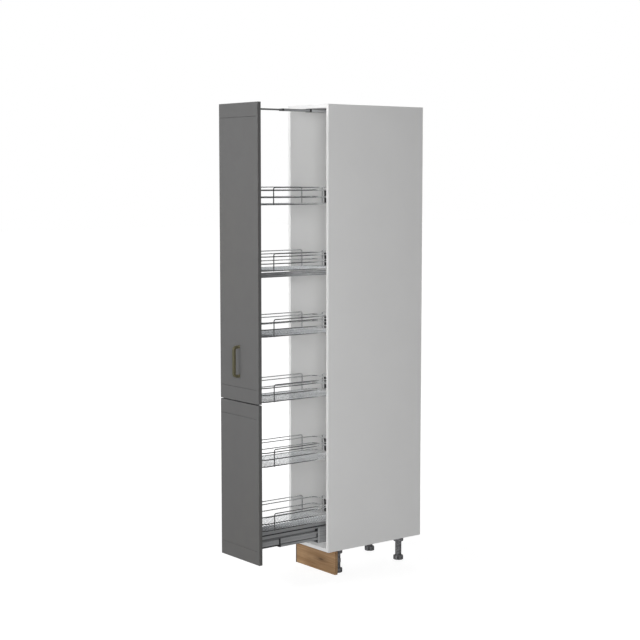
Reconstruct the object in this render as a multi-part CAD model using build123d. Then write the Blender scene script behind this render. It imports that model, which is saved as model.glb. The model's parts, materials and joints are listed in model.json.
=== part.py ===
from build123d import *
import os
from math import cos, pi, radians, sin

# Tall pull-out pantry cabinet, shown pulled out: a white carcass on four levelling legs, and two
# grey fronts on a frame with six wire baskets, which rolls out on a telescopic runner.
# Millimetres, +Z up, +X to the right of a person who faces the fronts, -Y towards that person.
# The origin lies on the floor, under the middle of the box that holds the pulled-out cabinet.

# Carcass
CARCASS_W = 300.0
CARCASS_H = 2040.0
CARCASS_D = 560.0
PANEL_T = 16.0
BACK_T = 3.0
DOWEL_D = 8.0
DOWEL_L = 32.0
DOWEL_SIDES = 6
DOWEL_IN_SIDE = 10.0
DOWEL_INSET = 80.0
DOWEL_PLAY = 0.1
WALL_BRACKET_X = 85.0
WALL_BRACKET_LEG = 40.0
WALL_BRACKET_W = 30.0
WALL_BRACKET_T = 2.0
WALL_HOLE_D = 6.5

# Legs and plinth
LEG_H = 112.0
LEG_SIDE_INSET = 42.0
LEG_FRONT_INSET = 86.0
LEG_REAR_INSET = 99.0
LEG_TUBE_D = 30.0
LEG_TUBE_WALL = 2.0
LEG_SOCKET_D = 48.0
LEG_SOCKET_H = 22.0
LEG_SPIGOT_L = 25.0
LEG_BORE_SIDES = 12
FOOT_D = 48.0
FOOT_H = 20.0
FOOT_EDGE = 2.0
FOOT_SIDES = 12
FOOT_NOTCH = 6.0
FOOT_STEM_L = 40.0
FOOT_PLAY = 0.2
STEM_PLAY = 0.5
PLINTH_T = 16.0
PLINTH_RECESS = 39.5
PLINTH_GAP = 1.5
PLINTH_FLOOR_GAP = 0.5
CLIP_H = 20.0
CLIP_WALL = 1.4
CLIP_PLAY = 0.3
CLIP_PLATE_W = 40.0
CLIP_PLATE_T = 3.0
CLIP_ARM_W = 16.0
CLIP_MOUTH = 24.0

# Fronts and handle
FRONT_T = 18.0
FRONT_REVEAL = 2.0
FRONT_GAP = 4.0
LOWER_FRONT_H = 716.0
FRONT_EDGE_R = 2.0
GROOVE_INSET = 62.0
GROOVE_END = 14.0
GROOVE_W = 4.0
GROOVE_DEPTH = 1.5
BUFFER_D = 8.0
BUFFER_SIDES = 8
BUFFER_INSET = 30.0
BUFFER_PLAY = 0.3
HANDLE_CENTRES = 128.0
HANDLE_STANDOFF = 33.0
HANDLE_RISE = 178.0
HANDLE_W = 14.0
HANDLE_BAR = 12.0
HANDLE_FOOT = 16.0
HANDLE_R = 18.0
HANDLE_EDGE = 1.5
HANDLE_SCREW_D = 4.0
HANDLE_SCREW_SIDES = 8
HANDLE_SCREW_HEAD_D = 8.0
HANDLE_SCREW_HEAD_T = 2.4
HANDLE_SCREW_BITE = 9.0
SCREW_PLAY = 0.1

# Pull-out: how far it stands open, and the gap left behind a closed front
PULL_OUT = 366.8
CLOSED_GAP = 2.0
MIDDLE_SHARE = 0.5

# Frame
FRAME_REAR_GAP = 48.0
SHEET_T = 1.5
POST_W = 40.0
POST_D = 14.0
POST_TOP_GAP = 4.0
BRACKET_T = 2.0
BRACKET_W = 110.0
BRACKET_H = 40.0
BRACKET_EAR = 11.0
BRACKET_PLAY = 0.2
BRACKET_INSET = 60.0
BEAM_W = 60.0
BEAM_H = 25.5
BAR_SIZE = 22.0
BAR_WALL = 1.2
BAR_DROP = 15.0
BAR_BASKET = 4

# Bottom runner
RUNNER_WALL = 2.0
HOUSING_W = 60.0
HOUSING_H = 74.0
HOUSING_LIP = 2.2
HOUSING_FRONT = 34.0
HOUSING_REAR_GAP = 26.0
MIDDLE_SIDE_GAP = 2.0
MIDDLE_DROP = 20.5
MIDDLE_LIP = 3.5
MIDDLE_BEAD = 2.0
MIDDLE_BEAD_H = 10.0
MIDDLE_CLOSED = 0.5
MIDDLE_REAR_GAP = 70.0
INNER_SIDE_GAP = 1.5
INNER_LIFT = 3.0
INNER_RISE = 4.5
INNER_FLANGE_H = 15.5
WAIST_GAP = 2.0
WAIST_SIDE_GAP = 1.0
INNER_REAR_GAP = 90.0
SPACER_T = 5.0
COLLAR_T = 2.0
COLLAR_PLUG = 12.0
SHOE_L = 10.0
SLIDE_PLAY = 0.4
GUIDE_L = 25.0
GUIDE_NOSE = 5.0
GUIDE_H = 18.0
GUIDE_RISE = 3.0
TOP_GUIDE_H = 12.0
TOP_GUIDE_DROP = 2.0
TOP_GUIDE_NOSE = 15.0
ROLLER_D = 12.4
ROLLER_PLAY = 0.3
ROLLER_SIDE_GAP = 2.0
ROLLER_INSET = 3.0
AXLE_D = 5.0
AXLE_PLAY = 0.05

# Top rail
TOP_WALL = 1.5
TOP_FIXED_W = 40.0
TOP_FIXED_H = 16.0
TOP_FIXED_SLOT = 18.0
TOP_FIXED_FRONT = 6.5
TOP_FIXED_REAR_GAP = 50.0
TOP_HEADROOM = 2.3
TOP_MIDDLE_SIDE_GAP = 3.5
TOP_MIDDLE_SLOT = 11.0
TOP_MIDDLE_CLOSED = 37.0
TOP_MIDDLE_REAR_GAP = 68.0
TOP_INNER_SIDE_GAP = 1.5
TOP_NECK_GAP = 1.5
TOP_COLLAR_L = 6.0

# Baskets
BASKET_COUNT = 6
BASKET_SIDE_GAP = 24.0
BASKET_FLOOR_RISE = 16.0
BASKET_TOP_CLEAR = 429.5
BASKET_CORNER_R = 35.0
CORNER_STEPS = 2
WIRE_D = 5.0
WIRE_SIDES = 6
LOOP_PITCH = 31.0
LOOP_COUNT = 3
RAIL_RISE = 75.0
RAIL_FRONT_INSET = 67.0
RAIL_REAR_INSET = 70.0
RAIL_END_HALF = 57.0
RAIL_CORNER = 8.0
RAIL_POST_GAP = 0.5
GRID_WIRE_D = 3.0
GRID_WIRE_SIDES = 4
GRID_COUNT = 30
GRID_END_GAP = 15.0

# Basket carriers on the posts
CARRIER_W = 62.0
CARRIER_GAP = 0.5
CARRIER_SEAT = 0.3
HOOK_T = 3.5
HOOK_LIP = 4.0

# Places that follow from the sizes above
CARCASS_FRONT = (PULL_OUT + CLOSED_GAP + FRONT_T + HANDLE_STANDOFF - CARCASS_D - BACK_T) / 2
CARCASS_REAR = CARCASS_FRONT + CARCASS_D
BASE = LEG_H
FLOOR = BASE + PANEL_T
ROOF = BASE + CARCASS_H - PANEL_T
HALF_W = CARCASS_W / 2
HALF_INSIDE = HALF_W - PANEL_T
SIDES = (-1, 1)

DOOR_BACK = CARCASS_FRONT - CLOSED_GAP - PULL_OUT
DOOR_FACE = DOOR_BACK - FRONT_T
LOWER_FRONT_BOTTOM = BASE + FRONT_REVEAL
LOWER_FRONT_TOP = LOWER_FRONT_BOTTOM + LOWER_FRONT_H
UPPER_FRONT_BOTTOM = LOWER_FRONT_TOP + FRONT_GAP
UPPER_FRONT_TOP = BASE + CARCASS_H - FRONT_REVEAL
HANDLE_Z = UPPER_FRONT_BOTTOM + HANDLE_RISE

ROLLER_W = HOUSING_W - 2 * (RUNNER_WALL + ROLLER_SIDE_GAP)
MIDDLE_W = HOUSING_W - 2 * (RUNNER_WALL + MIDDLE_SIDE_GAP + MIDDLE_BEAD)
MIDDLE_LOW = FLOOR + RUNNER_WALL + ROLLER_D + 2 * ROLLER_PLAY
MIDDLE_HIGH = FLOOR + HOUSING_H - MIDDLE_DROP
MIDDLE_HOLLOW_W = MIDDLE_W - 2 * RUNNER_WALL
MIDDLE_SLOT_W = MIDDLE_HOLLOW_W - 2 * MIDDLE_LIP
INNER_W = MIDDLE_HOLLOW_W - 2 * INNER_SIDE_GAP
INNER_LOW = MIDDLE_LOW + RUNNER_WALL + INNER_LIFT
INNER_HIGH = FLOOR + HOUSING_H + INNER_RISE

FRAME_FRONT = DOOR_BACK + BRACKET_T
FRAME_REAR = DOOR_BACK + CARCASS_D - FRAME_REAR_GAP
FRONT_WEB = FRAME_FRONT + POST_D
REAR_WEB = FRAME_REAR - POST_D
BEAM_LOW = INNER_HIGH + SPACER_T
BEAM_HIGH = BEAM_LOW + BEAM_H
POST_TOP = ROOF - TOP_FIXED_H - POST_TOP_GAP

WIRE_R = WIRE_D / 2
WIRE_TIP = WIRE_R / cos(pi / WIRE_SIDES)
BASKET_HALF = HALF_INSIDE - BASKET_SIDE_GAP
WEB_TO_WIRE = RAIL_POST_GAP + WIRE_D + WIRE_R
CARRIER_T = WEB_TO_WIRE - WIRE_R - CARRIER_GAP
BASKET_FRONT = FRONT_WEB + WEB_TO_WIRE
BASKET_REAR = REAR_WEB - WEB_TO_WIRE
FIRST_LEVEL = BEAM_HIGH + BASKET_FLOOR_RISE
LAST_LEVEL = ROOF - BASKET_TOP_CLEAR
LEVEL_STEP = (LAST_LEVEL - FIRST_LEVEL) / (BASKET_COUNT - 1)
LEVELS = [FIRST_LEVEL + LEVEL_STEP * i for i in range(BASKET_COUNT)]
HOOK_LOOP = LOOP_PITCH * (LOOP_COUNT - 1)

MIDDLE_MOVE = PULL_OUT * MIDDLE_SHARE
CORNER = (Align.MIN, Align.MIN, Align.MIN)
nodes = {}


def keep(name, *shapes):
    """Store the solids of one node."""
    solids = [solid for shape in shapes for solid in shape.solids()]
    nodes[name] = solids[0] if len(solids) == 1 else Compound(solids)


def block(x, y, z):
    """Solid between a low and a high value on each axis."""
    size = [high - low for low, high in (x, y, z)]
    return Pos(x[0], y[0], z[0]) * Box(*size, align=CORNER)


def rect(u, v):
    """Rectangle between a low and a high value on both axes of a profile."""
    return Pos(u[0], v[0]) * Rectangle(u[1] - u[0], v[1] - v[0], align=CORNER[:2])


def centred(width):
    """Low and high value of a width about the middle plane."""
    return (-width / 2, width / 2)


def run_x(profile, low, high):
    """Extrude a profile drawn in Y and Z between two X values."""
    return extrude(Plane((low, 0, 0), x_dir=(0, 1, 0), z_dir=(1, 0, 0)) * profile, high - low)


def run_y(profile, front, rear):
    """Extrude a profile drawn in X and Z between two Y values."""
    return extrude(Plane((0, rear, 0), x_dir=(1, 0, 0), z_dir=(0, -1, 0)) * profile, rear - front)


def run_z(profile, low, high):
    """Extrude a profile drawn in X and Y between two Z values."""
    return extrude(Plane((0, 0, low)) * profile, high - low)


def disc(diameter, sides=None):
    """Round outline, or a many-sided one inside that circle for a small or hidden piece."""
    return RegularPolygon(diameter / 2, sides) if sides else Circle(diameter / 2)


def pin_x(x, y, z, diameter, sides=None):
    """Pin along X."""
    return run_x(Pos(y, z) * disc(diameter, sides), *x)


def pin_y(x, y, z, diameter, sides=None):
    """Pin along Y."""
    return run_y(Pos(x, z) * disc(diameter, sides), *y)


def pin_z(x, y, z, diameter, sides=None):
    """Pin along Z."""
    return run_z(Pos(x, y) * disc(diameter, sides), *z)


# Carcass boards, with dowels in the corner joints
def carcass():
    depth = (CARCASS_FRONT, CARCASS_REAR)
    height = (BASE, BASE + CARCASS_H)
    boards = {
        "top_panel": block(centred(2 * HALF_INSIDE), depth, (ROOF, height[1])),
        "bottom_panel": block(centred(2 * HALF_INSIDE), depth, (BASE, FLOOR)),
        "side_panel_left": block((-HALF_W, -HALF_INSIDE), depth, height),
        "side_panel_right": block((HALF_INSIDE, HALF_W), depth, height),
    }
    dowels = []
    levels = {"top_panel": ROOF + PANEL_T / 2, "bottom_panel": BASE + PANEL_T / 2}
    for shelf, z in levels.items():
        for side, wall in zip(SIDES, ("side_panel_left", "side_panel_right")):
            ends = sorted(side * (HALF_INSIDE + x) for x in (DOWEL_IN_SIDE, DOWEL_IN_SIDE - DOWEL_L))
            for y in (CARCASS_FRONT + DOWEL_INSET, CARCASS_REAR - DOWEL_INSET):
                bore = (ends[0] - DOWEL_PLAY, ends[1] + DOWEL_PLAY)
                hole = pin_x(bore, y, z, DOWEL_D + 2 * DOWEL_PLAY, DOWEL_SIDES)
                boards[shelf] -= hole
                boards[wall] -= hole
                dowels.append(pin_x(ends, y, z, DOWEL_D, DOWEL_SIDES))
    for name, board in boards.items():
        keep(name, board)
    keep("carcass_dowels", *dowels)


# Back board, and the two wall brackets inside the top
def back_and_brackets():
    back = block(centred(CARCASS_W), (CARCASS_REAR, CARCASS_REAR + BACK_T), (BASE, BASE + CARCASS_H))
    hole_z = ROOF - WALL_BRACKET_LEG / 2
    angle = rect((CARCASS_REAR - WALL_BRACKET_LEG, CARCASS_REAR), (ROOF - WALL_BRACKET_T, ROOF))
    angle += rect((CARCASS_REAR - WALL_BRACKET_T, CARCASS_REAR), (ROOF - WALL_BRACKET_LEG, ROOF))
    brackets = []
    for side in SIDES:
        x = side * WALL_BRACKET_X
        through = (CARCASS_REAR - WALL_BRACKET_LEG / 2, CARCASS_REAR + BACK_T)
        hole = pin_y(x, through, hole_z, WALL_HOLE_D)
        brackets.append(run_x(angle, x - WALL_BRACKET_W / 2, x + WALL_BRACKET_W / 2) - hole)
        back -= hole
    keep("back_panel", back)
    keep("wall_brackets", *brackets)


# Legs: a socket under the carcass, a tube pushed onto its spigot, and a foot that screws into the tube
def legs():
    tube_bore = LEG_TUBE_D - 2 * LEG_TUBE_WALL
    stem_d = tube_bore * cos(pi / LEG_BORE_SIDES) - 2 * STEM_PLAY
    tube_low = FOOT_H + FOOT_PLAY
    socket_low = BASE - LEG_SOCKET_H
    sockets = []
    tubes = []
    rows = {"front": CARCASS_FRONT + LEG_FRONT_INSET, "rear": CARCASS_REAR - LEG_REAR_INSET}
    for row, y in rows.items():
        for side, hand in zip(SIDES, ("left", "right")):
            x = side * (HALF_W - LEG_SIDE_INSET)
            socket = pin_z(x, y, (socket_low, BASE), LEG_SOCKET_D)
            spigot = pin_z(x, y, (socket_low - LEG_SPIGOT_L, socket_low), tube_bore, LEG_BORE_SIDES)
            sockets.append(socket + spigot)
            tube = pin_z(x, y, (tube_low, socket_low), LEG_TUBE_D)
            tubes.append(tube - pin_z(x, y, (tube_low, socket_low), tube_bore, LEG_BORE_SIDES))
            keep("foot_" + row + "_" + hand, Pos(x, y, 0) * foot(stem_d))
    keep("leg_sockets", *sockets)
    keep("leg_tubes", *tubes)


def foot(stem_d):
    """Levelling foot: a many-sided drum with finger notches and a broken top edge, and a stem."""
    body = extrude(disc(FOOT_D, FOOT_SIDES), FOOT_H)
    body = chamfer(body.faces().sort_by(Axis.Z)[-1].edges(), FOOT_EDGE)
    notch = Box(FOOT_NOTCH, FOOT_NOTCH, FOOT_H, align=(Align.CENTER, Align.CENTER, Align.MIN))
    for i in range(FOOT_SIDES // 2):
        body -= Rot(0, 0, (2 * i + 0.5) * 360 / FOOT_SIDES) * Pos(FOOT_D / 2, 0, 0) * notch
    return body + extrude(Pos(0, 0, FOOT_H) * disc(stem_d, FOOT_SIDES), FOOT_STEM_L)


# Plinth board, and the clips that hold it on the front legs
def plinth():
    face = CARCASS_FRONT + PLINTH_RECESS
    back = face + PLINTH_T
    board_z = (PLINTH_FLOOR_GAP, BASE - PLINTH_GAP)
    keep("plinth_board", block(centred(CARCASS_W), (face, back), board_z))
    leg_y = CARCASS_FRONT + LEG_FRONT_INSET
    bore = LEG_TUBE_D / 2 + CLIP_PLAY
    ring = bore + CLIP_WALL
    low = (BASE - CLIP_H) / 2
    clips = []
    for side in SIDES:
        x = side * (HALF_W - LEG_SIDE_INSET)
        profile = rect(centred(CLIP_ARM_W), (back, leg_y))
        profile += Pos(0, leg_y) * Circle(ring)
        profile += rect(centred(CLIP_PLATE_W), (back, back + CLIP_PLATE_T))
        profile -= Pos(0, leg_y) * Circle(bore)
        profile -= rect(centred(CLIP_MOUTH), (leg_y, leg_y + ring))
        clips.append(Pos(x, 0, 0) * run_z(profile, low, low + CLIP_H))
    keep("plinth_clips", *clips)


# Fronts with rounded edges, a groove near each end, and buffers on their backs
def fronts():
    half = HALF_W - FRONT_REVEAL
    screw_z = [HANDLE_Z + side * HANDLE_CENTRES / 2 for side in SIDES]
    spans = {
        "lower_front": (LOWER_FRONT_BOTTOM, LOWER_FRONT_TOP),
        "upper_front": (UPPER_FRONT_BOTTOM, UPPER_FRONT_TOP),
    }
    for name, (low, high) in spans.items():
        board = block((-half, half), (DOOR_FACE, DOOR_BACK), (low, high))
        board = fillet(board.faces().sort_by(Axis.Y)[0].edges(), FRONT_EDGE_R)
        for z in (low + GROOVE_INSET, high - GROOVE_INSET):
            rims = [(DOOR_FACE, z - GROOVE_W / 2), (DOOR_FACE, z + GROOVE_W / 2)]
            groove = make_face(Polyline(*rims, (DOOR_FACE + GROOVE_DEPTH, z), close=True))
            board -= run_x(groove, GROOVE_END - half, half - GROOVE_END)
        for z in screw_z:
            if low < z < high:
                hole_d = HANDLE_SCREW_D + 2 * SCREW_PLAY
                board -= pin_y(0, (DOOR_FACE, DOOR_BACK), z, hole_d, HANDLE_SCREW_SIDES)
        keep(name, board)
    buffers = []
    depth = (DOOR_BACK, DOOR_BACK + CLOSED_GAP - BUFFER_PLAY)
    for z in (LOWER_FRONT_BOTTOM + BUFFER_INSET, UPPER_FRONT_TOP - BUFFER_INSET):
        for side in SIDES:
            buffers.append(pin_y(side * (HALF_W - PANEL_T / 2), depth, z, BUFFER_D, BUFFER_SIDES))
    keep("front_buffers", *buffers)


# Bow handle, and the screws that hold it through the upper front
def handle():
    reach = DOOR_FACE - HANDLE_STANDOFF
    half = HANDLE_CENTRES / 2
    outer = rect((reach, DOOR_FACE), (-half - HANDLE_FOOT / 2, half + HANDLE_FOOT / 2))
    outer = fillet(outer.vertices().group_by(Axis.X)[0], HANDLE_R)
    inner = rect((reach + HANDLE_BAR, DOOR_FACE), (-half + HANDLE_FOOT / 2, half - HANDLE_FOOT / 2))
    inner = fillet(inner.vertices().group_by(Axis.X)[0], HANDLE_R - HANDLE_BAR)
    bow = run_x(outer - inner, *centred(HANDLE_W))
    rims = bow.faces().filter_by(Axis.X).edges()
    bow = chamfer(rims.filter_by(lambda edge: edge.center().Y < DOOR_FACE - HANDLE_EDGE), HANDLE_EDGE)
    bow = Pos(0, 0, HANDLE_Z) * bow
    screws = []
    bite = DOOR_FACE - HANDLE_SCREW_BITE
    head = (DOOR_BACK, DOOR_BACK + HANDLE_SCREW_HEAD_T)
    hole_d = HANDLE_SCREW_D + 2 * SCREW_PLAY
    for side in SIDES:
        z = HANDLE_Z + side * half
        bow -= pin_y(0, (bite - SCREW_PLAY, DOOR_FACE), z, hole_d, HANDLE_SCREW_SIDES)
        shank = pin_y(0, (bite, DOOR_BACK), z, HANDLE_SCREW_D, HANDLE_SCREW_SIDES)
        screws.append(shank + pin_y(0, head, z, HANDLE_SCREW_HEAD_D, HANDLE_SCREW_SIDES))
    keep("handle", bow)
    keep("handle_screws", *screws)


# Frame behind the fronts: two posts, a bottom beam, a middle bar and the fixing brackets
def frame():
    post = rect(centred(POST_W), (0, POST_D))
    post -= rect(centred(POST_W - 2 * SHEET_T), (SHEET_T, POST_D))
    front = Pos(0, FRONT_WEB) * mirror(post, Plane.XZ)
    rear = Pos(0, REAR_WEB) * post
    keep("front_post", run_z(front, BEAM_HIGH, POST_TOP))
    keep("rear_post", run_z(rear, BEAM_HIGH, POST_TOP))

    beam = rect(centred(BEAM_W), (BEAM_LOW, BEAM_HIGH))
    beam -= rect(centred(BEAM_W - 2 * SHEET_T), (BEAM_LOW + SHEET_T, BEAM_HIGH - SHEET_T))
    keep("bottom_beam", run_y(beam, FRAME_FRONT, FRAME_REAR))

    bar_high = LEVELS[BAR_BASKET] - BAR_DROP
    bar = rect(centred(BAR_SIZE), (bar_high - BAR_SIZE, bar_high))
    bar -= rect(centred(BAR_SIZE - 2 * BAR_WALL), (bar_high - BAR_SIZE + BAR_WALL, bar_high - BAR_WALL))
    keep("middle_bar", run_y(bar, FRONT_WEB, REAR_WEB))

    ear = POST_W / 2 + BRACKET_PLAY
    clamp = rect(centred(BRACKET_W), (DOOR_BACK, FRAME_FRONT))
    for side in SIDES:
        across = sorted((side * ear, side * (ear + BRACKET_T)))
        clamp += rect(across, (DOOR_BACK, FRAME_FRONT + BRACKET_EAR))
    foot_plate = rect(centred(BRACKET_W), (DOOR_BACK, FRAME_FRONT))
    half_h = BRACKET_H / 2
    beam_mid = (BEAM_LOW + BEAM_HIGH) / 2
    plates = [run_z(foot_plate, beam_mid - half_h, beam_mid + half_h)]
    clamp_z = [end - BRACKET_INSET for end in (LOWER_FRONT_TOP, UPPER_FRONT_TOP)]
    for z in [*clamp_z, UPPER_FRONT_BOTTOM + BRACKET_INSET]:
        plates.append(run_z(clamp, z - half_h, z + half_h))
    keep("front_brackets", *plates)


# Bottom runner: a fixed housing, a middle member and an inner member, one inside the other
def bottom_runner():
    housing_front = CARCASS_FRONT + HOUSING_FRONT
    housing_rear = CARCASS_REAR - HOUSING_REAR_GAP
    inside = HOUSING_W - 2 * RUNNER_WALL
    housing = rect(centred(HOUSING_W), (FLOOR, FLOOR + HOUSING_H))
    housing -= rect(centred(inside), (FLOOR + RUNNER_WALL, FLOOR + HOUSING_H - RUNNER_WALL))
    housing -= rect(centred(inside - 2 * HOUSING_LIP), (FLOOR + RUNNER_WALL, FLOOR + HOUSING_H))
    housing = run_y(housing, housing_front, housing_rear)

    roller_z = FLOOR + RUNNER_WALL + ROLLER_PLAY + ROLLER_D / 2
    roller_y = housing_front + ROLLER_INSET
    axle_hole = pin_x(centred(HOUSING_W), roller_y, roller_z, AXLE_D + 2 * AXLE_PLAY)
    keep("runner_housing", housing - axle_hole)
    keep("roller_axle", pin_x(centred(HOUSING_W), roller_y, roller_z, AXLE_D))
    roller = pin_x(centred(ROLLER_W), roller_y, roller_z, ROLLER_D)
    keep("support_roller", roller - axle_hole)

    guide_low = MIDDLE_LOW + MIDDLE_BEAD_H + GUIDE_RISE
    top_guide_high = FLOOR + HOUSING_H - RUNNER_WALL - TOP_GUIDE_DROP
    guide_y = (housing_front - GUIDE_NOSE, housing_front - GUIDE_NOSE + GUIDE_L)
    top_guide_y = (housing_front - TOP_GUIDE_NOSE, guide_y[1])
    guides = []
    for side in SIDES:
        across = sorted((side * (MIDDLE_W / 2 + SLIDE_PLAY), side * inside / 2))
        guides.append(block(across, guide_y, (guide_low, guide_low + GUIDE_H)))
        guides.append(block(across, top_guide_y, (top_guide_high - TOP_GUIDE_H, top_guide_high)))
    keep("runner_guide_blocks", *guides)

    middle_front = CARCASS_FRONT + MIDDLE_CLOSED - MIDDLE_MOVE
    middle_rear = CARCASS_REAR - MIDDLE_REAR_GAP - MIDDLE_MOVE
    hollow_z = (MIDDLE_LOW + RUNNER_WALL, MIDDLE_HIGH - RUNNER_WALL)
    slot = rect(centred(MIDDLE_SLOT_W), (hollow_z[0], MIDDLE_HIGH))
    shell = rect(centred(MIDDLE_W), (MIDDLE_LOW, MIDDLE_HIGH))
    shell += rect(centred(MIDDLE_W + 2 * MIDDLE_BEAD), (MIDDLE_LOW, MIDDLE_LOW + MIDDLE_BEAD_H))
    hollow = rect(centred(MIDDLE_HOLLOW_W), hollow_z)
    keep("runner_middle", run_y(shell - hollow - slot, middle_front, middle_rear))

    inner_rear = CARCASS_REAR - INNER_REAR_GAP - PULL_OUT
    inner = inner_profile(0) - inner_profile(RUNNER_WALL)
    keep("runner_inner", run_y(inner, FRAME_FRONT, inner_rear))

    gap = rect(centred(INNER_W + 2 * SLIDE_PLAY), (INNER_LOW - SLIDE_PLAY, MIDDLE_HIGH))
    collar = run_y(hollow - gap, middle_front, middle_front + COLLAR_PLUG)
    collar += run_y(shell - gap, middle_front - COLLAR_T, middle_front)
    keep("runner_middle_collar", collar)

    shoe_z = (hollow_z[0] + SLIDE_PLAY, hollow_z[1] - SLIDE_PLAY)
    shoe = rect(centred(MIDDLE_HOLLOW_W - 2 * SLIDE_PLAY), shoe_z)
    keep("runner_inner_shoe", run_y(shoe, inner_rear, inner_rear + SHOE_L))
    tail = rect(centred(inside - 2 * SLIDE_PLAY), (FLOOR + RUNNER_WALL + SLIDE_PLAY, MIDDLE_HIGH))
    keep("runner_middle_shoe", run_y(tail - slot, middle_rear, middle_rear + SHOE_L))

    keep("beam_spacers", block(centred(BEAM_W), (FRAME_FRONT, inner_rear), (INNER_HIGH, BEAM_LOW)))


def inner_profile(inset):
    """Outline of the inner runner, a tube with a waist between the lips of the middle runner."""
    waist_low = MIDDLE_HIGH - RUNNER_WALL - WAIST_GAP
    waist_high = INNER_HIGH - INNER_FLANGE_H
    waist_w = MIDDLE_SLOT_W - 2 * WAIST_SIDE_GAP
    low = rect(centred(INNER_W - 2 * inset), (INNER_LOW + inset, waist_low - inset))
    waist = rect(centred(waist_w - 2 * inset), (INNER_LOW + inset, INNER_HIGH - inset))
    high = rect(centred(MIDDLE_W - 2 * inset), (waist_high + inset, INNER_HIGH - inset))
    return low + waist + high


# Top rail: a fixed channel, a middle channel and a flat bar, one inside the other
def top_rail():
    fixed_low = ROOF - TOP_FIXED_H
    middle_low = fixed_low + TOP_WALL + SLIDE_PLAY
    middle_high = ROOF - TOP_WALL - TOP_HEADROOM
    middle_w = TOP_FIXED_W - 2 * (TOP_WALL + TOP_MIDDLE_SIDE_GAP)
    bar_low = middle_low + TOP_WALL + SLIDE_PLAY
    bar_high = middle_high - TOP_WALL - SLIDE_PLAY
    bar_w = middle_w - 2 * (TOP_WALL + TOP_INNER_SIDE_GAP)
    fixed_front = CARCASS_FRONT + TOP_FIXED_FRONT
    middle_front = CARCASS_FRONT + TOP_MIDDLE_CLOSED - MIDDLE_MOVE
    middle_rear = CARCASS_REAR - TOP_MIDDLE_REAR_GAP - MIDDLE_MOVE

    fixed_z = (fixed_low, ROOF)
    fixed_slot = rect(centred(TOP_FIXED_SLOT), (fixed_low, fixed_low + TOP_WALL))
    fixed = rect(centred(TOP_FIXED_W), fixed_z) - fixed_slot
    fixed -= rect(centred(TOP_FIXED_W - 2 * TOP_WALL), (fixed_low + TOP_WALL, ROOF - TOP_WALL))
    keep("top_rail_fixed", run_y(fixed, fixed_front, CARCASS_REAR - TOP_FIXED_REAR_GAP))

    middle_z = (middle_low, middle_high)
    middle_slot = rect(centred(TOP_MIDDLE_SLOT), (middle_low, middle_low + TOP_WALL))
    middle = rect(centred(middle_w), middle_z) - middle_slot
    middle -= rect(centred(middle_w - 2 * TOP_WALL), (middle_low + TOP_WALL, middle_high - TOP_WALL))
    keep("top_rail_middle", run_y(middle, middle_front, middle_rear))

    mouth = rect(centred(middle_w + 2 * SLIDE_PLAY), (middle_low - SLIDE_PLAY, middle_high + SLIDE_PLAY))
    collar = rect(centred(TOP_FIXED_W), fixed_z) - fixed_slot - mouth
    keep("top_rail_collar", run_y(collar, fixed_front - TOP_COLLAR_L, fixed_front))
    mouth = rect(centred(bar_w + 2 * SLIDE_PLAY), (bar_low - SLIDE_PLAY, bar_high + SLIDE_PLAY))
    collar = rect(centred(middle_w), middle_z) - middle_slot - mouth
    keep("top_middle_collar", run_y(collar, middle_front - TOP_COLLAR_L, middle_front))

    bar = run_y(rect(centred(bar_w), (bar_low, bar_high)), FRAME_FRONT, FRAME_REAR)
    for depth in ((FRAME_FRONT, FRONT_WEB), (REAR_WEB, FRAME_REAR)):
        bar += block(centred(TOP_MIDDLE_SLOT - 2 * TOP_NECK_GAP), depth, (POST_TOP, bar_low))
    keep("top_rail_inner", bar)


# Wire baskets: loops, a floor of cross wires and raised rails, welded where their flats meet
def wire(points, diameter, sides, flat, closed=False):
    """Many-sided wire along a chain of points, mitred at each, with a flat facing one way."""
    path = Polyline(*points, close=closed)
    along = Vector(*points[1]) - Vector(*points[0])
    section = RegularPolygon(diameter / 2, sides, major_radius=False, rotation=180 / sides)
    return sweep(Plane(points[0], x_dir=flat, z_dir=along) * section, path, transition=Transition.RIGHT)


def loop_points(z):
    """Rounded rectangle through the wire centres of a loop, from the middle of its right side."""
    x = BASKET_HALF - BASKET_CORNER_R
    front = BASKET_FRONT + BASKET_CORNER_R
    rear = BASKET_REAR - BASKET_CORNER_R
    points = [(BASKET_HALF, (front + rear) / 2, z)]
    for corner, centre in enumerate([(x, rear), (-x, rear), (-x, front), (x, front)]):
        for step in range(CORNER_STEPS + 1):
            turn = radians(90 * (corner + step / CORNER_STEPS))
            reach = BASKET_CORNER_R
            points.append((centre[0] + reach * cos(turn), centre[1] + reach * sin(turn), z))
    return points


def rail_points(low, high):
    """Upside-down U from one end to the other, as distance along it and height."""
    bend = RAIL_RISE - RAIL_CORNER
    rise = [(low, -WIRE_TIP), (low, bend), (low + RAIL_CORNER, RAIL_RISE)]
    fall = [(high - RAIL_CORNER, RAIL_RISE), (high, bend), (high, -WIRE_TIP)]
    return rise + fall


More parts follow.
